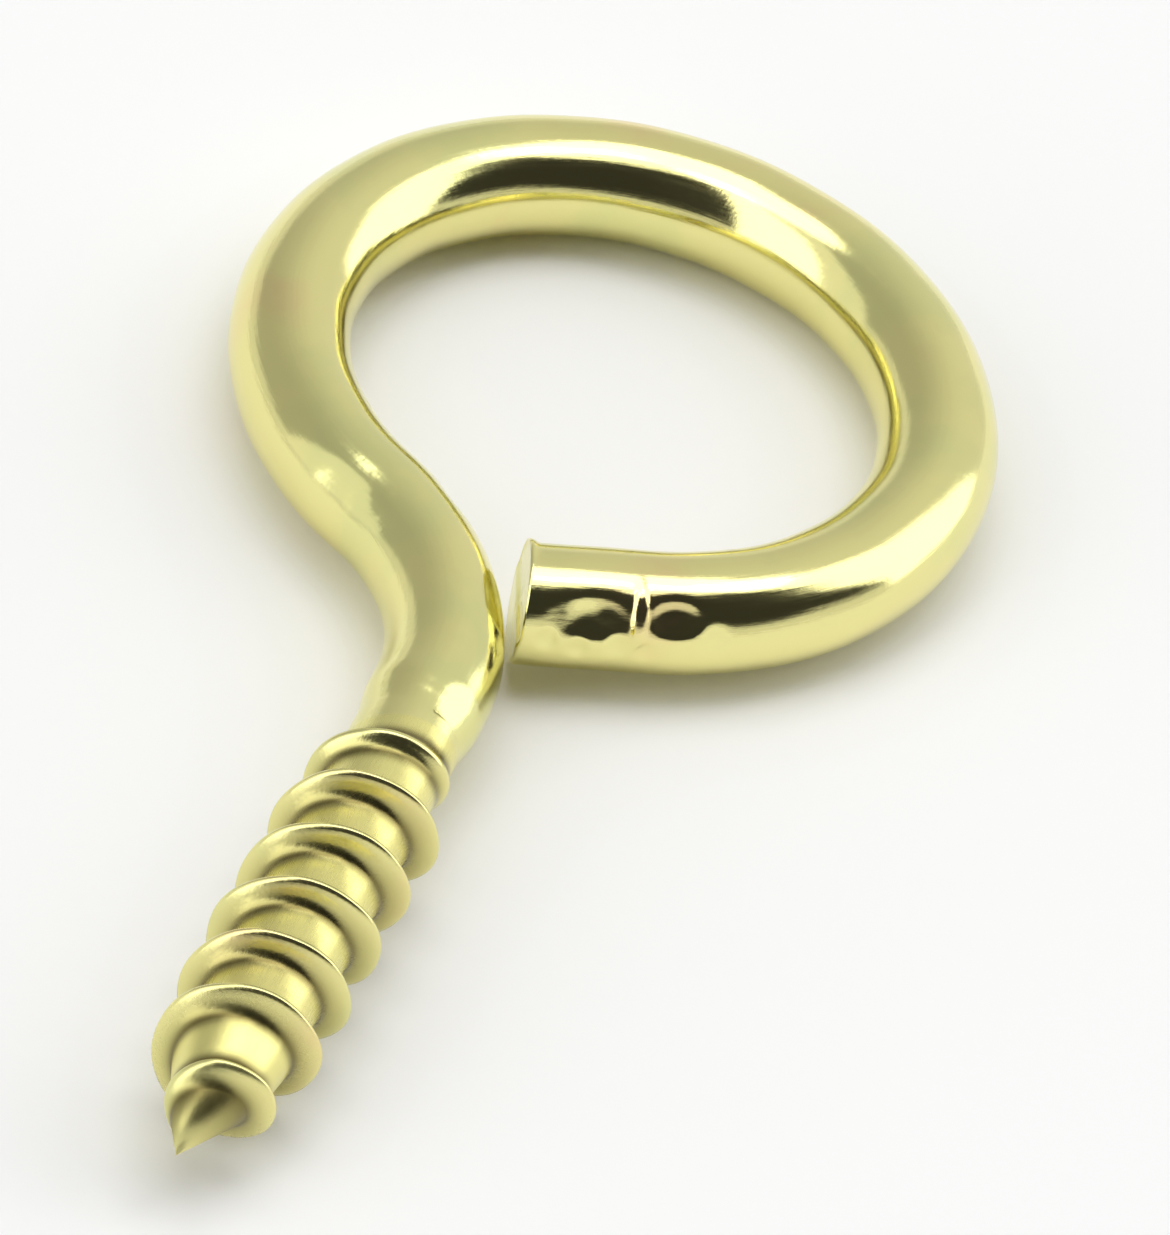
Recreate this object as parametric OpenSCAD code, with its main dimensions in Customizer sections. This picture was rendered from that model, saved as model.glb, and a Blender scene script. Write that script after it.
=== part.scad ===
// Screw eye: one length of plated wire, bent into a round eye at one end and rolled to a wood thread
// with a gimlet point at the other. It lies as it comes to rest on a flat surface: the far side of the
// eye and one thread ridge touch down, so the wire's plane leans by a degree or so.

/* [Wire] */
// Diameter of the plain wire
wire_d = 1.9; // [1.8:0.05:2.5]
// How much thinner the bending tools leave the wire at the neck and where they grip its end
tool_draw = 0.04; // [0.02:0.01:0.1]

/* [Eye] */
// Inside diameter of the eye
eye_id = 8.4; // [7:0.1:14]
// How far the eye's centre stands off the shank's axis, towards the closing end
eye_shift = 0.2; // [0:0.05:1]
// Bend radius of the neck, at the middle of the wire
neck_r = 4.5; // [3:0.1:6]
// Straight length of wire that the bending tool grips, from the eye's bend to the sheared end
grip_len = 2.2; // [0.5:0.1:4]
// Gap between the sheared end of the wire and the neck
end_gap = 0.2; // [0.1:0.05:0.6]

/* [Shank] */
// Plain length between the neck and the thread
plain_len = 1.1; // [0.8:0.1:6]
// Length of the thread, with its point
thread_len = 10.5; // [7:0.1:20]
// Length over which the thread tapers to the point
point_len = 2.7; // [2:0.1:4]

/* [Thread] */
// Distance from one ridge to the next
pitch = 1.35; // [1:0.05:1.8]
// Diameter over the ridges
crest_d = 2.6; // [2:0.05:3.4]
// Diameter between the ridges
root_d = 1.7; // [1.3:0.05:1.75]
// Width of a ridge at its foot
ridge_foot = 0.4; // [0.35:0.05:0.8]
// Width of a ridge at its crest
ridge_land = 0.1; // [0.05:0.05:0.3]

/* [Hidden] */
$fn = 96;
brass_tone = "#cdbf6c";

// Wire and eye
wire_r = wire_d / 2;
drawn_d = wire_d - tool_draw;
eye_r = (eye_id + wire_d) / 2;
centres = neck_r + eye_r;
neck_angle = acos((neck_r + eye_shift) / centres);
eye_x = centres * sin(neck_angle);
eye_y = -eye_shift;

// The end's outer corner stops short of the neck by the gap, which gives the angle left open
end_outer_r = eye_r + drawn_d / 2;
end_reach = norm([end_outer_r, grip_len]);
neck_clear_r = neck_r + drawn_d / 2 + end_gap;
open_angle = acos((centres ^ 2 + end_reach ^ 2 - neck_clear_r ^ 2) / (2 * centres * end_reach));
grip_angle = atan2(grip_len, end_outer_r);
eye_start = 90 + neck_angle;
eye_sweep = 360 - open_angle - grip_angle;
eye_end = eye_start - eye_sweep;

// Thread: whole turns, counted back from where the ridge runs out below the plain shank
turn_steps = 40;
rise_steps = turn_steps / 2;
run_out_steps = turn_steps;
crest_r = crest_d / 2;
root_r = root_d / 2;
tip_x = -plain_len - thread_len;
run_out_at = thread_len - ridge_foot;
turns = floor((run_out_at - ridge_foot) / pitch);
last_step = turns * turn_steps;
ridge_start = run_out_at - turns * pitch;
bottom_angle = -90;
// How far the threaded core runs up inside the plain wire
core_overlap = 0.4;

// The thinner wire runs on a little inside the full wire at both sides
drawn_overlap = tool_draw;
neck_reach = drawn_overlap / neck_r * 180 / PI;

// Rest: a line under the eye's far side and under the last full ridge
contact_x = tip_x + run_out_at - pitch + ridge_land / 2;
contact_span = eye_x + eye_r - contact_x;
rest_tilt = atan2(crest_r, contact_span) - asin(wire_r / norm([contact_span, crest_r]));
seat_z = (eye_x + eye_r) * sin(rest_tilt) + wire_r;
middle_x = ((tip_x + eye_x + eye_r) * cos(rest_tilt) + wire_r) / 2;

// The four edges of the ridge's section: distance along the shank, and share of the ridge's height
ridge_edges = [[-ridge_foot / 2, 0], [-ridge_land / 2, 1], [ridge_land / 2, 1], [ridge_foot / 2, 0]];
edge_count = len(ridge_edges);

// Share of the full size that the point has reached at a distance from the tip
function taper(along) = min(1, along / point_len);

// Share of the ridge's height at a step: it rises at the point and runs out at the plain shank
function ridge_share(step) = min(1, step / rise_steps, (last_step - step) / run_out_steps);

// A point at a distance from the tip, at a radius, at a step's angle round the shank
function shank_point(along, r, step) =
    let (angle = bottom_angle + 360 * step / turn_steps)
    [tip_x + along, r * cos(angle), r * sin(angle)];

// One edge of the ridge's section at one step
function ridge_point(step, edge) =
    let (along = ridge_start + pitch * step / turn_steps + edge[0])
    let (height = (crest_r - root_r) * edge[1] * ridge_share(step))
    shank_point(along, taper(along) * (root_r + height), step);

// Places in the list of points
function ridge_at(step, edge) = step * edge_count + edge;
tip_at = (last_step + 1) * edge_count;
function core_at(step) = tip_at + 1 + step % turn_steps;

// The two triangles of a four-sided patch, and a fan of triangles from one point to a line of points
function patch(a, b, c, d) = [[a, b, c], [a, c, d]];
function fan(apex, line) = [for (i = [0 : len(line) - 2]) [apex, line[i], line[i + 1]]];

// Rolled thread with its core and gimlet point, wound as one closed surface
module thread() {
    first_edge = 0;
    last_edge = edge_count - 1;
    top_turn = last_step - turn_steps;
    ridge_points = [for (step = [0 : last_step], edge = ridge_edges) ridge_point(step, edge)];
    core_points = [for (step = [0 : turn_steps - 1]) shank_point(thread_len + core_overlap, root_r, step)];
    ridge_faces = [
        for (step = [0 : last_step - 1], edge = [0 : last_edge - 1])
            each patch(ridge_at(step, edge), ridge_at(step, edge + 1),
                       ridge_at(step + 1, edge + 1), ridge_at(step + 1, edge))
    ];
    groove_faces = [
        for (step = [0 : top_turn - 1])
            each patch(ridge_at(step, last_edge), ridge_at(step + turn_steps, first_edge),
                       ridge_at(step + turn_steps + 1, first_edge), ridge_at(step + 1, last_edge))
    ];
    point_turn = [for (step = [0 : turn_steps - 1]) ridge_at(step, first_edge)];
    point_seam = concat(
        [ridge_at(turn_steps, first_edge)],
        [for (edge = [last_edge : -1 : first_edge]) ridge_at(0, edge)],
        [tip_at]
    );
    point_faces = concat(fan(tip_at, point_turn), fan(ridge_at(turn_steps - 1, first_edge), point_seam));
    shoulder_faces = [
        for (step = [1 : turn_steps - 1])
            each patch(ridge_at(top_turn + step, last_edge), core_at(step),
                       core_at(step + 1), ridge_at(top_turn + step + 1, last_edge))
    ];
    shoulder_seam = concat(
        [ridge_at(top_turn + 1, last_edge), ridge_at(top_turn, last_edge)],
        [for (edge = [first_edge : last_edge]) ridge_at(last_step, edge)],
        [core_at(0)]
    );
    seam_faces = fan(core_at(1), shoulder_seam);
    core_end = [[for (step = [turn_steps - 1 : -1 : 0]) core_at(step)]];
    polyhedron(
        points = concat(ridge_points, [[tip_x, 0, 0]], core_points),
        faces = concat(ridge_faces, groove_faces, point_faces, shoulder_faces, seam_faces, core_end)
    );
}

// Plain wire between the thread and the neck
module plain_shank() {
    translate([-plain_len, 0, 0])
        rotate([0, 90, 0])
            cylinder(d = wire_d, h = plain_len);
}

// A round bend of wire, turning left from an angle
module bend(d, centre, radius, from_angle, angle) {
    translate(centre)
        rotate([0, 0, from_angle])
            rotate_extrude(angle = angle)
                translate([radius, 0])
                    circle(d = d);
}

// The neck swings left, off the shank's axis
module neck() {
    bend(drawn_d, [0, neck_r, 0], neck_r, bottom_angle - neck_reach, neck_angle + 2 * neck_reach);
}

// The eye turns right, most of the way round
module eye() {
    bend(wire_d, [eye_x, eye_y, 0], eye_r, eye_end, eye_sweep);
}

// The gripped end runs straight on from the eye, to end beside the neck
module gripped_end() {
    translate([eye_x, eye_y, 0])
        rotate([0, 0, eye_end])
            translate([eye_r, drawn_overlap, 0])
                rotate([90, 0, 0])
                    cylinder(d = drawn_d, h = grip_len + drawn_overlap);
}

// The whole wire, bent and threaded, at rest
module screw_eye() {
    color(brass_tone)
        translate([-middle_x, -eye_y, seat_z])
            rotate([0, rest_tilt, 0])
                union() {
                    thread();
                    plain_shank();
                    neck();
                    eye();
                    gripped_end();
                }
}

screw_eye();
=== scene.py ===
# %% [markdown]
# A wire screw eye is one length of steel wire with a job at each end. One end is bent into a round eye
# that things hang from. The other is rolled to a wood thread with a gimlet point, so it can be screwed
# into a board by hand. The whole wire is then plated with bright brass.
#
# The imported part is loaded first, as a fixed frame. It gives the place and the size of the wire, and
# everything made below sits in that frame, in metres.

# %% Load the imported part
import math

import bpy
import numpy as np
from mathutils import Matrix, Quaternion, Vector


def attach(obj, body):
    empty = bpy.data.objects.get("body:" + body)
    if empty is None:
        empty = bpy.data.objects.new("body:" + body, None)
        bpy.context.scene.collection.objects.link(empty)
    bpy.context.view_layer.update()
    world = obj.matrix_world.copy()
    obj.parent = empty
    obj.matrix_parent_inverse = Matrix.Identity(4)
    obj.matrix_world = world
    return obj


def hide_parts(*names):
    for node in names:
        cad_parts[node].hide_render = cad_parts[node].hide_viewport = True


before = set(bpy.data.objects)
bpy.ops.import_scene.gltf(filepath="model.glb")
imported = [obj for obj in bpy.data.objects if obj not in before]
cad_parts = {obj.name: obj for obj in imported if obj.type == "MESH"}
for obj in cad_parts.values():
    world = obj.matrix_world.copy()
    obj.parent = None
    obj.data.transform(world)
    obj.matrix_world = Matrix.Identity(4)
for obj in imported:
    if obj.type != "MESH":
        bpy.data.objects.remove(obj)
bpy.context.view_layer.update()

MM = 0.001

# %% [markdown]
# The wire's own sizes come next, the same driving sizes as the solid part has. A maker would set these
# on a bending machine: the wire, the eye's bend, the neck's bend, the short end that the machine grips,
# and how far the thread is rolled. From them follow the angle of the neck, and the angle that the eye
# turns before its gripped end meets the neck.

# %% Sizes of the wire
WIRE_R = 0.95 * MM
TOOL_DRAW = 0.02 * MM
EYE_R = 5.15 * MM
NECK_R = 4.5 * MM
EYE_SHIFT = 0.2 * MM
GRIP_LEN = 2.2 * MM
END_GAP = 0.2 * MM
PLAIN_LEN = 1.1 * MM
THREAD_LEN = 10.5 * MM

bend_centres = NECK_R + EYE_R
neck_angle = math.acos((NECK_R + EYE_SHIFT) / bend_centres)
end_outer_r = EYE_R + WIRE_R - TOOL_DRAW
end_reach = math.hypot(end_outer_r, GRIP_LEN)
neck_clear_r = NECK_R + WIRE_R - TOOL_DRAW + END_GAP
open_angle = math.acos((bend_centres**2 + end_reach**2 - neck_clear_r**2) / (2 * bend_centres * end_reach))
eye_sweep = 2 * math.pi - open_angle - math.atan2(GRIP_LEN, end_outer_r)

shank_len = THREAD_LEN + PLAIN_LEN
neck_len = NECK_R * neck_angle
eye_len = EYE_R * eye_sweep
grip_at = shank_len + neck_len + eye_len
wire_len = grip_at + GRIP_LEN
print(f"wire cut to {wire_len / MM:.1f} mm, neck turns {math.degrees(neck_angle):.1f} degrees,",
      f"eye turns {math.degrees(eye_sweep):.1f}")

# %% [markdown]
# A bent wire is easiest to describe by walking along it. At every distance from the point there is a
# centre, a heading, a left side and an up side. The shank is straight, the neck turns left, the eye turns
# right, and the gripped end is straight again. Curves with a bevel could draw this too, but walking it by
# formula lets the same walk carry the thread, the marks of the tools and the grain of the plating.

# %% Walk along the wire
def walk(along):
    """Centre, left side and up side of the straight, bent and closed wire, at distances from the point."""
    along = np.asarray(along, dtype=float)
    straight = np.minimum(along, shank_len) - shank_len
    neck_turn = np.clip(along - shank_len, 0, neck_len) / NECK_R
    eye_turn = np.clip(along - shank_len - neck_len, 0, eye_len) / EYE_R
    gripped = np.maximum(along - grip_at, 0)
    heading = neck_turn - eye_turn
    x = straight + NECK_R * np.sin(neck_turn) + EYE_R * (np.sin(neck_turn) - np.sin(heading))
    y = NECK_R * (1 - np.cos(neck_turn)) + EYE_R * (np.cos(heading) - np.cos(neck_turn))
    x = x + gripped * np.cos(heading)
    y = y + gripped * np.sin(heading)
    none = np.zeros_like(x)
    centre = np.stack([x, y, none], axis=-1)
    left = np.stack([-np.sin(heading), np.cos(heading), none], axis=-1)
    up = np.stack([none, none, none + 1], axis=-1)
    return centre, left, up


# %% [markdown]
# Lying on a table, the screw eye touches down at the far side of the eye and at one ridge of the thread.
# The ridges stand out further than the plain wire, so the whole wire leans by about a degree. The same
# lean and seat are worked out here as for the solid part.

# %% Rest on the table
PITCH = 1.35 * MM
CREST_R = 1.3 * MM
ROOT_R = 0.85 * MM
RIDGE_FOOT = 0.4 * MM
RIDGE_LAND = 0.1 * MM

eye_centre_x = bend_centres * math.sin(neck_angle)
eye_far_x = eye_centre_x + EYE_R
run_out_at = THREAD_LEN - RIDGE_FOOT
contact_x = run_out_at - PITCH + RIDGE_LAND / 2 - shank_len
contact_span = eye_far_x - contact_x
lean = math.atan2(CREST_R, contact_span) - math.asin(WIRE_R / math.hypot(contact_span, CREST_R))
seat = np.array([
    -((eye_far_x - shank_len) * math.cos(lean) + WIRE_R) / 2,
    EYE_SHIFT,
    eye_far_x * math.sin(lean) + WIRE_R,
])
lean_matrix = np.array([
    [math.cos(lean), 0, math.sin(lean)],
    [0, 1, 0],
    [-math.sin(lean), 0, math.cos(lean)],
])


def lay_down(points):
    """Moves points of the level wire to where the wire rests."""
    return points @ lean_matrix.T + seat


def wire_points(along, radius, angle):
    """Points on the wire at distances from its tip, at a radius, at an angle from its left side."""
    centre, left, up = walk(along)
    out = np.cos(angle)[..., None] * left + np.sin(angle)[..., None] * up
    return lay_down(centre + np.asarray(radius)[..., None] * out)


print(f"the wire leans by {math.degrees(lean):.2f} degrees")

# %% [markdown]
# The thread is rolled, not cut: hard dies squeeze the wire, so the metal rises into thin ridges and the
# core between them is left a little thinner than the plain wire. Each ridge swells out of the core with a
# round foot and ends in a thin crest. A grid of straight rings would cut across the ridges and make their
# edges ragged. So the lines of this mesh follow the helix itself: each step round the shank carries one
# whole section of ridge and groove, and the groove's last line meets the next turn's first.
#
# Towards the gimlet point the core and the ridge shrink together. The point is a cone with a slightly
# rounded outline, because the dies can't draw it out to a needle.

# %% Section of the ridge and the groove
COLUMNS = 128
RIDGE_LINES = 17
GROOVE_LINES = 11
RIDGE_STEEPNESS = 3
RIDGE_REACH = 0.7 * RIDGE_FOOT

ridge_offsets = np.linspace(-RIDGE_REACH, RIDGE_REACH, RIDGE_LINES)
groove_offsets = np.linspace(RIDGE_REACH, PITCH - RIDGE_REACH, GROOVE_LINES + 2)[1:-1]
section_offsets = np.concatenate([ridge_offsets, groove_offsets])
next_turn = section_offsets > PITCH / 2
from_crest = np.where(next_turn, PITCH - section_offsets, np.abs(section_offsets))
half_height_at = (RIDGE_FOOT + RIDGE_LAND) / 4
ridge_rise = 1 / (1 + (from_crest / half_height_at) ** RIDGE_STEEPNESS)
section_lines = len(section_offsets)
print(section_lines, "lines in the section of one turn")

# %% Height of the ridge along its turns
turns = math.floor((run_out_at - RIDGE_FOOT) / PITCH)
last_step = turns * COLUMNS
ridge_start = run_out_at - turns * PITCH
RISE_TURNS = 0.5
RUN_OUT_TURNS = 1.0
CREST_UNEVEN = 0.16
# Height, rate and start of the waves that make the crest uneven
CREST_WAVES = ((0.4, 5.2, 0.4), (0.35, 14.3, 1.9), (0.25, 35.5, 0.0))


def uneven(turn):
    """A slow, uneven change along the ridge, as rolled ridges have, between 0 and 1."""
    waves = sum(height * np.sin(rate * turn + start) for height, rate, start in CREST_WAVES)
    return 0.5 + 0.5 * waves


def ridge_share(turn):
    """Share of the ridge's height at a turn: it rises at the point and runs out at the plain shank."""
    share = np.minimum(turn / RISE_TURNS, (turns - turn) / RUN_OUT_TURNS)
    return np.clip(share, 0, 1) * (1 - CREST_UNEVEN * uneven(turn))


print(turns, "turns of thread, starting", round(ridge_start / MM, 2), "mm from the tip")

# %% Wind the thread
POINT_LEN = 2.7 * MM
POINT_ROUND = 1.6
BOTTOM = -math.pi / 2

steps = np.arange(last_step + 1)
step_angle = BOTTOM + 2 * math.pi * steps / COLUMNS
section_turn = steps[:, None] / COLUMNS + next_turn[None, :]
thread_along = ridge_start + PITCH * steps[:, None] / COLUMNS + section_offsets[None, :]
point_share = np.minimum(1, thread_along / POINT_LEN)
taper = 1 - (1 - point_share) ** POINT_ROUND
ridge_height = (CREST_R - ROOT_R) * ridge_rise[None, :] * ridge_share(section_turn)
thread_radius = taper * (ROOT_R + ridge_height)
thread_angle = np.broadcast_to(step_angle[:, None], thread_along.shape)
thread_points = wire_points(thread_along, thread_radius, thread_angle)
print(thread_points.shape[0] * thread_points.shape[1], "points on the thread")

# %% [markdown]
# Above the thread the wire swells to its full thickness again over a soft shoulder, and the dies leave
# a few fine rings on it. The rest of the wire is close to round, but no bent wire is perfectly even: it
# waves by a few thousandths of a millimetre, and its bright plating shows every one of them.

# %% Rings of the plain wire
def stretch(start, end, spacing):
    """Distances from start up to end, about a spacing apart."""
    return np.linspace(start, end, max(2, round((end - start) / spacing) + 1))[:-1]


def ease(value):
    """A soft step from 0 to 1."""
    value = np.clip(value, 0, 1)
    return value * value * (3 - 2 * value)


SHOULDER_LEN = 0.85 * MM
FINE_STEP = 0.03 * MM
BEND_STEP = 0.13 * MM
DIE_MARKED_LEN = 1.0 * MM
TOOL_MARKED_LEN = 4.2 * MM
EDGE_R = 0.06 * MM
ring_along = np.concatenate([
    stretch(THREAD_LEN, THREAD_LEN + DIE_MARKED_LEN, FINE_STEP),
    stretch(THREAD_LEN + DIE_MARKED_LEN, wire_len - TOOL_MARKED_LEN, BEND_STEP),
    stretch(wire_len - TOOL_MARKED_LEN, wire_len - EDGE_R, FINE_STEP),
])
ring_angle = BOTTOM + 2 * math.pi * np.arange(COLUMNS) / COLUMNS
ring_s, ring_a = np.meshgrid(ring_along, ring_angle, indexing="ij")
shoulder = ease((ring_s - THREAD_LEN) / SHOULDER_LEN)
ring_radius = ROOT_R + (WIRE_R - ROOT_R) * shoulder
print(len(ring_along), "rings of plain wire")

# %% Rings of the dies and waves of the wire
DIE_RING_DEPTH = 0.006 * MM
DIE_RING_PITCH = 0.26 * MM
die_fade = ease(1 - (ring_s - THREAD_LEN) / DIE_MARKED_LEN) * shoulder
die_wave = np.sin(2 * math.pi * (ring_s - THREAD_LEN) / DIE_RING_PITCH + ring_a)
ring_radius -= DIE_RING_DEPTH * die_fade * (0.5 + 0.5 * die_wave)

BEND_WAVE = 0.008 * MM
WAVE_LEN = 2.6 * MM
WAVE_SWAY = 1.7
WAVE_DRIFT = 0.37
slow = 2 * math.pi * ring_s / WAVE_LEN
wave_along = np.sin(slow + WAVE_SWAY * np.sin(ring_a))
wave_round = np.sin(WAVE_DRIFT * slow + 2 * ring_a)
ring_radius += BEND_WAVE * shoulder * wave_along * wave_round

neck_middle = shank_len + neck_len / 2
ring_radius -= TOOL_DRAW * np.exp(-(((ring_s - neck_middle) / (neck_len / 2)) ** 4))
print("smallest radius, at the neck:", round(ring_radius[shoulder == 1].min() / MM, 3), "mm")

# %% [markdown]
# The machine grips the end of the wire while it bends the eye, and a finger folds the neck. The grip
# presses two dents into the end with a ridge left standing between them, the jaws leave small nicks below,
# and the fold leaves a crease at the neck. Each is a small change of the wire's radius at a place along it
# and an angle round it, where 0 degrees is the outer side of the eye and 90 is the top.

# %% Marks of the bending tools
def nick(at, angle, length, width, depth):
    """A soft nick at a place, of a half length along the wire and a half width round it in degrees."""
    turned = (ring_a - math.radians(angle) + math.pi) % (2 * math.pi) - math.pi
    reach = ((ring_s - at) / length) ** 2 + (turned / math.radians(width)) ** 2
    return depth * np.exp(-(reach**2))


# Rows: mm before the cut, degrees round the wire, half length in mm, half width in degrees, depth in mm
GRIP_DENTS = (
    (1.24, 31, 0.46, 19, 0.09),
    (0.82, 30, 0.42, 18, 0.05),
    (2.4, 36, 0.36, 16, 0.1),
    (2.95, 16, 0.2, 13, 0.03),
)
JAW_NICKS = (
    (0.45, 7, 0.16, 10, 0.045),
    (0.95, 0, 0.15, 9, 0.045),
    (1.55, 5, 0.17, 10, 0.045),
    (2.0, 1, 0.14, 9, 0.04),
)
# The ridge left between the dents, and the burr at the cut, which stand proud
RAISED = (
    (1.86, 36, 0.12, 30, 0.045),
    (0, 128, 0.18, 36, 0.06),
)
# The same for the neck, with mm past its end
NECK_CREASES = (
    (0.2, 22, 0.3, 26, 0.022),
    (-0.5, 40, 0.3, 22, 0.008),
    (-0.9, 150, 0.35, 18, 0.025),
)
for before, angle, length, width, depth in GRIP_DENTS + JAW_NICKS:
    ring_radius -= nick(wire_len - before * MM, angle, length * MM, width, depth * MM)
for before, angle, length, width, height in RAISED:
    ring_radius += nick(wire_len - before * MM, angle, length * MM, width, height * MM)
for past, angle, length, width, depth in NECK_CREASES:
    ring_radius -= nick(shank_len + neck_len + past * MM, angle, length * MM, width, depth * MM)
print("deepest mark:", round((WIRE_R - ring_radius[shoulder == 1].min()) / MM, 3), "mm")

# %% [markdown]
# The end was cut by a shear. The cut is a little skew and its edge slightly round, with a burr at the top.
# The blade leaves the lower half of the face clean, and the upper half tears a little deeper, with a rough
# grain. The rings of the cap shrink towards the middle and move along the wire by that relief.

# %% The sheared end
CUT_SKEW = 0.2 * MM
CUT_SKEW_LEN = 1.2 * MM


def skewed(along, radius, angle):
    """Distances along the wire, drawn back towards the eye's inner side where the cut is skew."""
    near_cut = ease((along - wire_len + CUT_SKEW_LEN) / CUT_SKEW_LEN)
    inner_share = (1 - radius * np.cos(angle) / WIRE_R) / 2
    return along - CUT_SKEW * near_cut * inner_share


EDGE_RINGS = 5
FACE_RINGS = 10
edge_turn = np.linspace(0, math.pi / 2, EDGE_RINGS + 1)[1:]
edge_shrink = EDGE_R * (1 - np.cos(edge_turn))
edge_along = wire_len - EDGE_R + EDGE_R * np.sin(edge_turn)
face_share = np.linspace(1, 0, FACE_RINGS + 1)[1:-1]
end_radius = ring_radius[-1]
cap_radius = np.concatenate([
    end_radius[None, :] - edge_shrink[:, None],
    (end_radius[None, :] - EDGE_R) * face_share[:, None],
])
cap_along = np.concatenate([edge_along, np.full(len(face_share), wire_len)])[:, None]
cap_angle = np.broadcast_to(ring_angle[None, :], cap_radius.shape)
print(cap_along.shape[0], "rings in the sheared end")

# %% Relief of the cut
SHEAR_RELIEF = 0.05 * MM
TEAR_SHARPNESS = 4
TORN_GRAIN = 0.12
TORN_LINES = 9
TORN_TURNS = 3
blade_side = cap_radius * np.sin(cap_angle) / WIRE_R
torn = ease(blade_side * TEAR_SHARPNESS + 0.5)
torn_grain = TORN_GRAIN * np.sin(TORN_LINES * blade_side + TORN_TURNS * cap_angle)
face_weight = np.concatenate([np.linspace(0, 1, EDGE_RINGS), np.ones(len(face_share))])[:, None]
cap_along = cap_along - SHEAR_RELIEF * face_weight * (torn + torn_grain)
ring_points = wire_points(skewed(ring_s, ring_radius, ring_a), ring_radius, ring_a)
cap_points = wire_points(skewed(cap_along, cap_radius, cap_angle), cap_radius, cap_angle)
middle = np.zeros(1)
end_point = wire_points(skewed(middle + wire_len - SHEAR_RELIEF / 2, middle, middle), middle, middle)
print("relief of the cut:", round(np.ptp(cap_along[EDGE_RINGS:]) / MM, 3), "mm")

# %% [markdown]
# Now all the lines are joined into one closed skin: the point, the thread's turns, the shoulder, the wire
# and the cap share their points, so there is no seam to leak light. Each stretch is a block of numbered
# points, and a face is a set of those numbers.

# %% Number the points
tip_point = wire_points(middle, middle, middle)
tube_points = np.concatenate([ring_points, cap_points])
tip_at = (last_step + 1) * section_lines
tube_at = tip_at + 1
end_at = tube_at + len(tube_points) * COLUMNS
first_line = 0
last_line = section_lines - 1


def thread_at(step, line):
    """Number of a thread's point, by its step round the shank and its line in the section."""
    return step * section_lines + line


def ring_at(ring, column):
    """Number of a ring's point, by its ring along the wire and its column round it."""
    return tube_at + ring * COLUMNS + column % COLUMNS


print(end_at + 1, "points in all")


# %% Faces of the thread and the point
def fan(apex, line):
    """Triangles from one point to each stretch of a line of points."""
    return [(apex, line[i], line[i + 1]) for i in range(len(line) - 1)]


faces = []
for step in range(last_step):
    for line in range(last_line):
        faces.append((thread_at(step, line), thread_at(step, line + 1),
                      thread_at(step + 1, line + 1), thread_at(step + 1, line)))
top_turn = last_step - COLUMNS
for step in range(top_turn):
    faces.append((thread_at(step, last_line), thread_at(step + COLUMNS, first_line),
                  thread_at(step + COLUMNS + 1, first_line), thread_at(step + 1, last_line)))

point_turn = [thread_at(step, first_line) for step in range(COLUMNS)]
point_seam = [thread_at(COLUMNS, first_line)]
point_seam += [thread_at(0, line) for line in range(last_line, -1, -1)] + [tip_at]
faces += fan(tip_at, point_turn) + fan(point_turn[-1], point_seam)
print(len(faces), "faces in the thread and the point")

# %% Faces of the shoulder, the wire and its end
for column in range(1, COLUMNS):
    faces.append((thread_at(top_turn + column, last_line), ring_at(0, column),
                  ring_at(0, column + 1), thread_at(top_turn + column + 1, last_line)))
shoulder_seam = [thread_at(top_turn + 1, last_line), thread_at(top_turn, last_line)]
shoulder_seam += [thread_at(last_step, line) for line in range(section_lines)] + [ring_at(0, 0)]
faces += fan(ring_at(0, 1), shoulder_seam)

for ring in range(len(tube_points) - 1):
    for column in range(COLUMNS):
        faces.append((ring_at(ring, column), ring_at(ring + 1, column),
                      ring_at(ring + 1, column + 1), ring_at(ring, column + 1)))
last_ring = [ring_at(len(tube_points) - 1, column) for column in range(COLUMNS + 1)]
faces += fan(end_at, last_ring[::-1])
faces = [face[::-1] for face in faces]
print(len(faces), "faces in all")

# %% Make the mesh
skin_points = np.concatenate([
    thread_points.reshape(-1, 3),
    tip_point,
    tube_points.reshape(-1, 3),
    end_point,
])
skin = bpy.data.meshes.new("screw_eye_wire")
skin.from_pydata(skin_points.tolist(), [], faces)
print("mesh is sound:", not skin.validate(verbose=False))
skin.polygons.foreach_set("use_smooth", [True] * len(skin.polygons))
screw_eye = bpy.data.objects.new("screw_eye_wire", skin)
bpy.context.scene.collection.objects.link(screw_eye)
print(len(skin.vertices), "points,", sum(len(face) - 2 for face in faces), "triangles")

# %% [markdown]
# A plated finish runs along the wire, not through space: the drawing die leaves lines along it and the
# plating is a skin all round it. So every point also keeps its place on the straight wire, before it was
# bent, as a named value that the material can read. Two more values say how deep in the thread a point is,
# because plating is duller there, and how near it is to the foot of a ridge, where painted shade darkens
# the plating in place of the shade that the ridges cast into the groove.

# %% Keep each point's place on the straight wire
def straight_place(along, radius, angle):
    """Millimetres along the straight wire, to its left and above its middle."""
    along, radius, angle = np.broadcast_arrays(along, radius, angle)
    place = np.stack([along, radius * np.cos(angle), radius * np.sin(angle)], axis=-1)
    return place.reshape(-1, 3) / MM


tube_along = np.concatenate([ring_s, cap_along * np.ones_like(cap_radius)])
tube_radius = np.concatenate([ring_radius, cap_radius])
tube_angle = np.concatenate([ring_a, cap_angle])
nothing = np.zeros((1, 1))
place = np.concatenate([
    straight_place(thread_along, thread_radius, thread_angle),
    straight_place(nothing, nothing, nothing),
    straight_place(tube_along, tube_radius, tube_angle),
    straight_place(nothing + wire_len, nothing, nothing),
])
skin.attributes.new("straight_place", "FLOAT_VECTOR", "POINT").data.foreach_set("vector", place.ravel())
print("wire places run from", place[:, 0].min().round(2), "to", place[:, 0].max().round(2), "mm")

# %% Keep how deep in the thread each point is
# The foot value places a painted shade line on each side of every ridge, where the ridge shades the groove
SHADE_LINE_AT = 0.65 * RIDGE_FOOT
SHADE_LINE_WIDTH = 0.32 * RIDGE_FOOT
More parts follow.
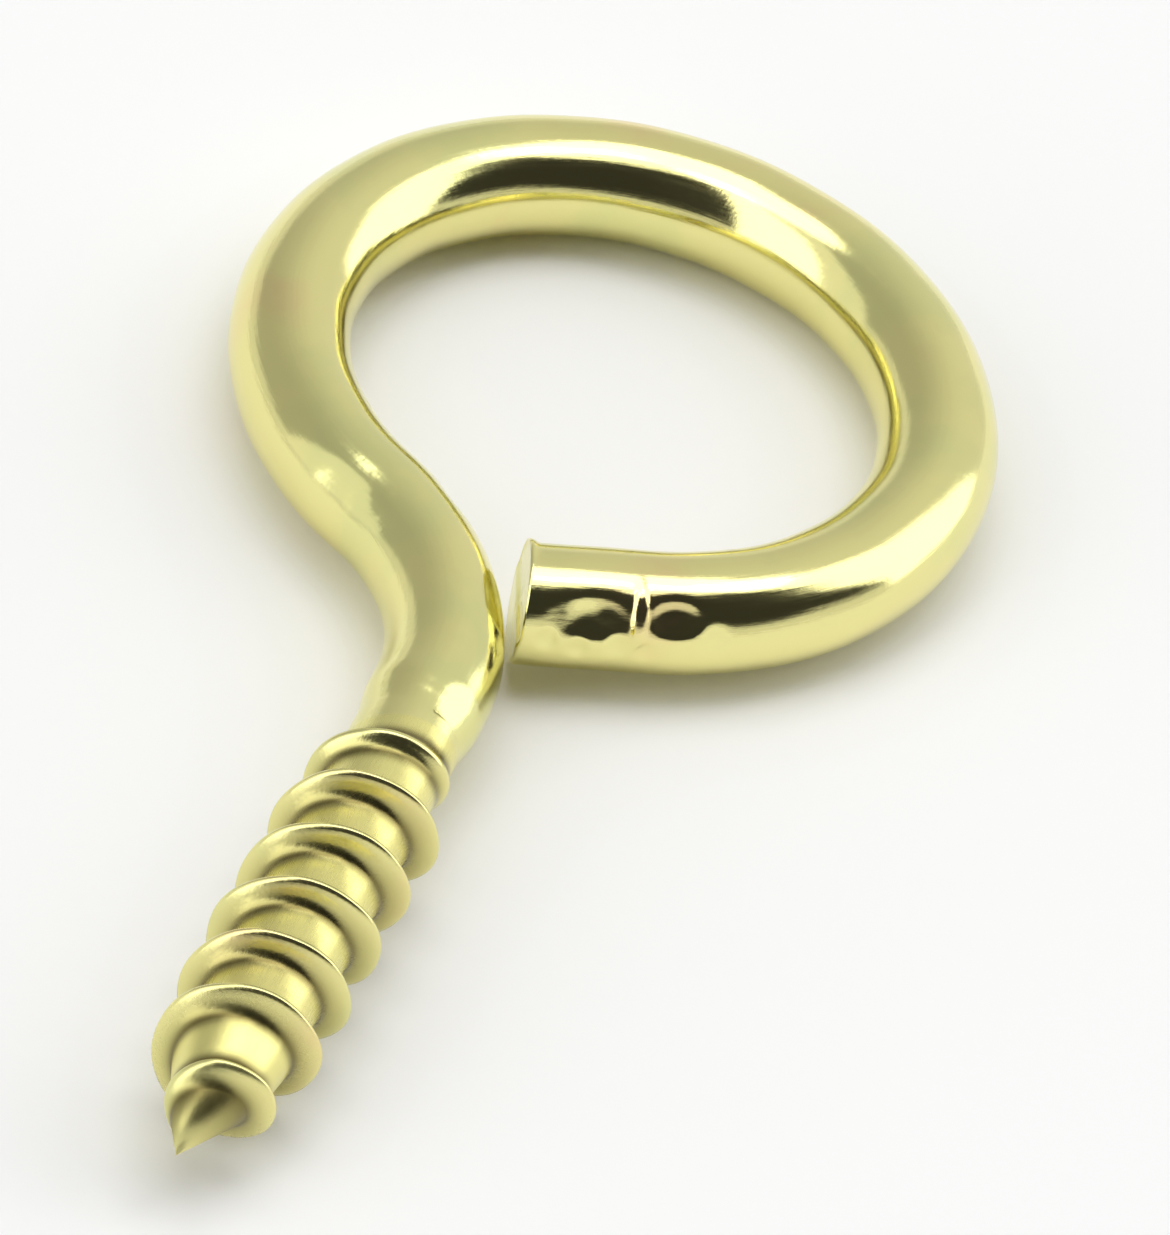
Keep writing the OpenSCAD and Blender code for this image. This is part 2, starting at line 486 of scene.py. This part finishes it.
# Both values fade only where the ridge is lower than a third of its height
LOW_RIDGE_GAIN = 3
painted_foot_shade = np.exp(-(((from_crest - SHADE_LINE_AT) / SHADE_LINE_WIDTH) ** 2))
threaded = np.minimum(1, LOW_RIDGE_GAIN * ridge_share(section_turn))
for name, section in (("groove_depth", 1 - ridge_rise), ("painted_foot_shade", painted_foot_shade)):
    on_thread = (section[None, :] * threaded).ravel()
    values = np.concatenate([on_thread, np.zeros(len(skin.vertices) - on_thread.size)])
    skin.attributes.new(name, "FLOAT", "POINT").data.foreach_set("value", values)
    print(name, "reaches", values.max().round(2))

# %% [markdown]
# Brass plating on bright wire is a pale, slightly green gold. It is a metal, so nearly all of its look is
# what it mirrors. The material adds what the plating itself has: patches that lean to copper where the
# coat is thin, faint lines from drawing the wire, a fine grain, and a duller coat on the thread, most of
# all in its grooves and at the point. It also paints a dark line of shade at the foot of each ridge, where
# the ridges shade the groove. A few helpers keep the wiring of its nodes short.

# %% Helpers for the plating
plating = bpy.data.materials.new("brass_plating")
plating.use_nodes = True
nodes, links = plating.node_tree.nodes, plating.node_tree.links
metal = nodes["Principled BSDF"]
metal.inputs["Metallic"].default_value = 1.0


def add_node(kind, **values):
    """A new node of the plating, with its sockets set by name."""
    made = nodes.new(kind)
    for name, value in values.items():
        made.inputs[name.replace("_", " ")].default_value = value
    return made


def read_value(name):
    """A node that reads one of the wire's named values."""
    made = nodes.new("ShaderNodeAttribute")
    made.attribute_name = name
    return made


def mix_colour(share, first, second):
    """A node that mixes two colours by a share."""
    made = nodes.new("ShaderNodeMix")
    made.data_type = "RGBA"
    for socket, value in (("A", first), ("B", second)):
        plug = [i for i in made.inputs if i.name == socket and i.type == "RGBA"][0]
        if isinstance(value, bpy.types.NodeSocket):
            links.new(value, plug)
        else:
            plug.default_value = (*value, 1.0)
    links.new(share, made.inputs["Factor"])
    return [o for o in made.outputs if o.type == "RGBA"][0]


def range_of(value, low, high, to_low, to_high):
    """A node that carries a value from one range to another."""
    made = add_node("ShaderNodeMapRange", From_Min=low, From_Max=high, To_Min=to_low, To_Max=to_high)
    links.new(value, made.inputs["Value"])
    return made.outputs["Result"]


wire_place = read_value("straight_place").outputs["Vector"]
in_groove = read_value("groove_depth").outputs["Fac"]
painted_shade_at_foot = read_value("painted_foot_shade").outputs["Fac"]
print("plating reads", [node.attribute_name for node in nodes if node.type == "ATTRIBUTE"])

# %% Colour of the plating
patches = add_node("ShaderNodeTexNoise", Scale=0.42, Detail=3.0, Roughness=0.55)
links.new(wire_place, patches.inputs["Vector"])
PALE_BRASS = (0.86, 0.80, 0.34)
GREEN_BRASS = (0.79, 0.77, 0.33)
COPPER_BRASS = (0.88, 0.71, 0.33)
GROOVE_BRASS = (0.85, 0.79, 0.29)
# Dark tone of the painted shade at the foot of each ridge
FOOT_SHADE_BRASS = (0.13, 0.10, 0.03)
COPPER_SHARE = 0.7
GROOVE_SHARE = 0.8
FOOT_SHADE_SHARE = 0.9
# Ranges of the patches, and of the groove's depth, over which a tone comes in or goes out
GREEN_PATCH = (0.36, 0.5)
COPPER_PATCH = (0.6, 0.72)
GROOVE_RANGE = (0.2, 1.0)
greenish = range_of(patches.outputs["Fac"], *GREEN_PATCH, 1.0, 0.0)
coppery = range_of(patches.outputs["Fac"], *COPPER_PATCH, 0.0, COPPER_SHARE)
tone = mix_colour(greenish, PALE_BRASS, GREEN_BRASS)
tone = mix_colour(coppery, tone, COPPER_BRASS)
tone = mix_colour(range_of(in_groove, *GROOVE_RANGE, 0.0, GROOVE_SHARE), tone, GROOVE_BRASS)
# Painted shade: the foot of each ridge is darkened towards the dark tone, in place of the ridges' shade
tone = mix_colour(range_of(painted_shade_at_foot, 0.0, 1.0, 0.0, FOOT_SHADE_SHARE), tone, FOOT_SHADE_BRASS)
links.new(tone, metal.inputs["Base Color"])
print("colour takes", len(nodes), "nodes")

# %% Gloss, drawn lines and grain
along_wire = add_node("ShaderNodeMapping", Scale=(0.35, 9.0, 9.0))
links.new(wire_place, along_wire.inputs["Vector"])
drawn_lines = add_node("ShaderNodeTexNoise", Scale=1.6, Detail=4.0, Roughness=0.6)
links.new(along_wire.outputs["Vector"], drawn_lines.inputs["Vector"])
grain = add_node("ShaderNodeTexNoise", Scale=7.0, Detail=5.0, Roughness=0.6)
links.new(wire_place, grain.inputs["Vector"])

split_place = add_node("ShaderNodeSeparateXYZ")
links.new(wire_place, split_place.inputs["Vector"])
from_tip = split_place.outputs["X"]
LINE_RANGE = (0.3, 0.75)
BRIGHT_ROUGHNESS = (0.09, 0.17)
GROOVE_DULLING = 0.07
THREAD_DULLING = 0.08
POINT_DULLING = 0.12
# Millimetres from the tip over which the dulling of the thread and of the point ends
THREAD_BRIGHTENS = (10.2, 11.0)
POINT_BRIGHTENS = (1.0, 3.5)
roughness = range_of(drawn_lines.outputs["Fac"], *LINE_RANGE, *BRIGHT_ROUGHNESS)
for dulled in (
    range_of(in_groove, *GROOVE_RANGE, 0.0, GROOVE_DULLING),
    range_of(from_tip, *THREAD_BRIGHTENS, THREAD_DULLING, 0.0),
    range_of(from_tip, *POINT_BRIGHTENS, POINT_DULLING, 0.0),
):
    added = nodes.new("ShaderNodeMath")
    added.operation = "ADD"
    links.new(roughness, added.inputs[0])
    links.new(dulled, added.inputs[1])
    roughness = added.outputs["Value"]
links.new(roughness, metal.inputs["Roughness"])

BUMP_HEIGHT = 0.02 * MM
line_bump = add_node("ShaderNodeBump", Strength=0.12, Distance=BUMP_HEIGHT)
links.new(drawn_lines.outputs["Fac"], line_bump.inputs["Height"])
grain_bump = add_node("ShaderNodeBump", Strength=0.1, Distance=BUMP_HEIGHT)
links.new(grain.outputs["Fac"], grain_bump.inputs["Height"])
links.new(line_bump.outputs["Normal"], grain_bump.inputs["Normal"])
links.new(grain_bump.outputs["Normal"], metal.inputs["Normal"])
print("plating has", len(nodes), "nodes")

# %% Plate the wire
skin.materials.append(plating)
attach(screw_eye, "root")
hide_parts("screw_eye")
print("plated", screw_eye.name)

# %% [markdown]
# The camera looks down on the wire from the same side as the photograph, with the point towards us and to
# the left. A long lens keeps the perspective gentle, and the frame is fitted to the outline of the wire.

# %% Fit the frame to the wire
IMAGE_SIZE = (1170, 1235)
VIEW_AZIMUTH = math.radians(-80.7)
VIEW_ELEVATION = math.radians(41.4)
VIEW_ROLL = math.radians(14.4)
CAMERA_DISTANCE = 280 * MM
FRAME_FILL = 0.84

camera_back = Vector((
    math.sin(VIEW_AZIMUTH) * math.cos(VIEW_ELEVATION),
    -math.cos(VIEW_AZIMUTH) * math.cos(VIEW_ELEVATION),
    math.sin(VIEW_ELEVATION),
))
camera_turn = (-camera_back).to_track_quat("-Z", "Y") @ Quaternion((0, 0, 1), VIEW_ROLL)
camera_right = np.array(camera_turn @ Vector((1, 0, 0)))
camera_up = np.array(camera_turn @ Vector((0, 1, 0)))
across = skin_points @ camera_right
upward = skin_points @ camera_up
toward = skin_points @ np.array(camera_back)
aim = Vector(
    camera_right * (across.min() + across.max()) / 2
    + camera_up * (upward.min() + upward.max()) / 2
    + np.array(camera_back) * (toward.min() + toward.max()) / 2
)
half_height = max(np.ptp(upward), np.ptp(across) * IMAGE_SIZE[1] / IMAGE_SIZE[0]) / 2 / FRAME_FILL
print(f"frame is {2 * half_height / MM:.1f} mm high at the wire")

# %% Camera
lens = bpy.data.cameras.new("camera")
lens.lens = lens.sensor_width / 2 * CAMERA_DISTANCE / half_height
lens.clip_start = 1 * MM
lens.clip_end = 10.0
camera = bpy.data.objects.new("camera", lens)
bpy.context.scene.collection.objects.link(camera)
camera.rotation_mode = "QUATERNION"
camera.rotation_quaternion = camera_turn
camera.location = aim + camera_back * CAMERA_DISTANCE
bpy.context.scene.camera = camera
print(f"lens of {lens.lens:.0f} mm, {CAMERA_DISTANCE / MM:.0f} mm from the wire")

# %% [markdown]
# The wire lies on a white table. The floor is a plain matt sheet, far wider than the view, so the metal
# mirrors white from below and the shadow falls on something.

# %% White table
FLOOR_HALF = 1.5
SHEET_WHITE = (0.95, 0.95, 0.945, 1.0)
floor_mesh = bpy.data.meshes.new("table")
floor_corners = [(x * FLOOR_HALF, y * FLOOR_HALF, 0.0) for x, y in ((-1, -1), (1, -1), (1, 1), (-1, 1))]
floor_mesh.from_pydata(floor_corners, [], [(0, 1, 2, 3)])
floor = bpy.data.objects.new("table", floor_mesh)
bpy.context.scene.collection.objects.link(floor)
table_white = bpy.data.materials.new("table_white")
table_white.use_nodes = True
sheet = table_white.node_tree.nodes["Principled BSDF"]
sheet.inputs["Base Color"].default_value = SHEET_WHITE
sheet.inputs["Roughness"].default_value = 0.9
sheet.inputs["Specular IOR Level"].default_value = 0.1
floor_mesh.materials.append(table_white)
print("table is", 2 * FLOOR_HALF, "m wide")

# %% [markdown]
# Polished wire shows its surroundings, so the light is laid out as a product photographer does it. A broad
# round soft box overhead makes the white streak, and a dark wall on the camera's side makes the black one.
# White walls stand at the left and the right, with a dimmer strip beside the left one. The right one widens
# towards its top. The table's white glows a little way up all round, and the room is grey elsewhere.
#
# The room is the world. Its level depends on the direction alone, so it is the same for every camera.

# %% Soft box overhead
BOX_HEIGHT = 0.5
BOX_BEHIND = 0.065
BOX_SIZE = (0.37, 0.5)
BOX_POWER = 0.8

camera_side = Vector((camera_back.x, camera_back.y, 0)).normalized()
left_side = camera_side.cross(Vector((0, 0, 1)))
box_place = -camera_side * BOX_BEHIND + Vector((0, 0, BOX_HEIGHT))
box_light = bpy.data.lights.new("overhead_soft_box", "AREA")
box_light.shape = "ELLIPSE"
box_light.size, box_light.size_y = BOX_SIZE
box_light.energy = BOX_POWER
soft_box = bpy.data.objects.new("overhead_soft_box", box_light)
soft_box.location = box_place
soft_box.rotation_mode = "QUATERNION"
soft_box.rotation_quaternion = (-box_place).to_track_quat("-Z", "X")
bpy.context.scene.collection.objects.link(soft_box)
print("soft box at", [round(v, 2) for v in box_place])

# %% Helpers for the room
world = bpy.data.worlds.new("room")
bpy.context.scene.world = world
world.use_nodes = True
room_nodes, room_links = world.node_tree.nodes, world.node_tree.links
room = room_nodes["Background"]
look = room_nodes.new("ShaderNodeTexCoord")
split = room_nodes.new("ShaderNodeSeparateXYZ")
room_links.new(look.outputs["Generated"], split.inputs["Vector"])
room_height = split.outputs["Z"]


def room_share(direction):
    """How far a ray of the room points in a direction, from -1 to 1."""
    made = room_nodes.new("ShaderNodeVectorMath")
    made.operation = "DOT_PRODUCT"
    made.inputs[1].default_value = direction
    room_links.new(look.outputs["Generated"], made.inputs[0])
    return made.outputs["Value"]


def room_range(value, low, high, to_low, to_high):
    """Carries a value of the room from one range to another, softly."""
    made = room_nodes.new("ShaderNodeMapRange")
    made.interpolation_type = "SMOOTHSTEP"
    for name, number in (("From Min", low), ("From Max", high), ("To Min", to_low), ("To Max", to_high)):
        made.inputs[name].default_value = number
    room_links.new(value, made.inputs["Value"])
    return made.outputs["Result"]


def room_math(kind, first, second):
    """One sum of two values of the room."""
    made = room_nodes.new("ShaderNodeMath")
    made.operation = kind
    for socket, value in zip(made.inputs, (first, second)):
        if isinstance(value, bpy.types.NodeSocket):
            room_links.new(value, socket)
        else:
            socket.default_value = value
    return made.outputs["Value"]


WALL_EDGE = 0.06


def wall(turn, half_width, foot, top, flare=0.0):
    """Share of a wall at a turn to the left of the camera, in degrees, that fades in from foot to top."""
    facing = camera_side * math.cos(math.radians(turn)) + left_side * math.sin(math.radians(turn))
    sideways = room_math("ABSOLUTE", room_share(facing.cross(Vector((0, 0, 1)))), 0.0)
    sideways = room_math("MULTIPLY", sideways, 1 / math.tan(math.radians(half_width)))
    forward = room_share(facing + Vector((0, 0, flare)))
    inside = room_range(room_math("SUBTRACT", forward, sideways), -WALL_EDGE, WALL_EDGE, 0.0, 1.0)
    return room_math("MULTIPLY", inside, room_range(room_height, foot, top, 0.0, 1.0))


print("the camera's side of the room is", [round(v, 2) for v in camera_side])

# %% Walls of the room
dark_front = wall(turn=-32, half_width=62, foot=0.05, top=0.25)
dark_corner = wall(turn=-74, half_width=20, foot=-0.1, top=0.08)
dark_wall = room_math("MAXIMUM", dark_front, dark_corner)
left_wall = wall(turn=50, half_width=19, foot=-0.05, top=0.1)
left_strip = wall(turn=80, half_width=13, foot=-0.05, top=0.1)

FLARE_ENDS = (0.6, 0.84)
right_flare = wall(turn=-113, half_width=16, foot=-0.08, top=0.08, flare=0.7)
right_flare = room_math("MULTIPLY", right_flare, room_range(room_height, *FLARE_ENDS, 1.0, 0.0))
right_wall = wall(turn=-115, half_width=20, foot=-0.08, top=0.08)
right_wall = room_math("MAXIMUM", right_wall, right_flare)
print("walls take", len(room_nodes), "nodes")

# %% Levels of the room
GREY_RIGHT = 0.76
GREY_LEFT = 0.45
GREY_BLEND = (-0.4, 0.7)
DARK_SIDE = 0.035
WHITE_SIDE = 2.0
PALE_SIDE = 0.9
GLOW_LEVEL = 0.77
GLOW_ENDS = (0.14, 0.34)

room_grey = room_range(room_share(left_side), *GREY_BLEND, GREY_RIGHT, GREY_LEFT)
room_level = room_math("MULTIPLY", room_grey, room_math("SUBTRACT", 1.0, dark_wall))
room_level = room_math("MAXIMUM", room_level, DARK_SIDE)
table_glow = room_range(room_height, *GLOW_ENDS, GLOW_LEVEL, 0.0)
room_level = room_math("MAXIMUM", room_level, table_glow)
for pale_wall, level in ((left_wall, WHITE_SIDE), (left_strip, PALE_SIDE), (right_wall, WHITE_SIDE)):
    room_level = room_math("MAXIMUM", room_level, room_math("MULTIPLY", pale_wall, level))
room_links.new(room_level, room.inputs["Strength"])
room.inputs["Color"].default_value = (1.0, 1.0, 1.0, 1.0)
bpy.context.scene.view_settings.view_transform = "Standard"
print("room has", len(room_nodes), "nodes")
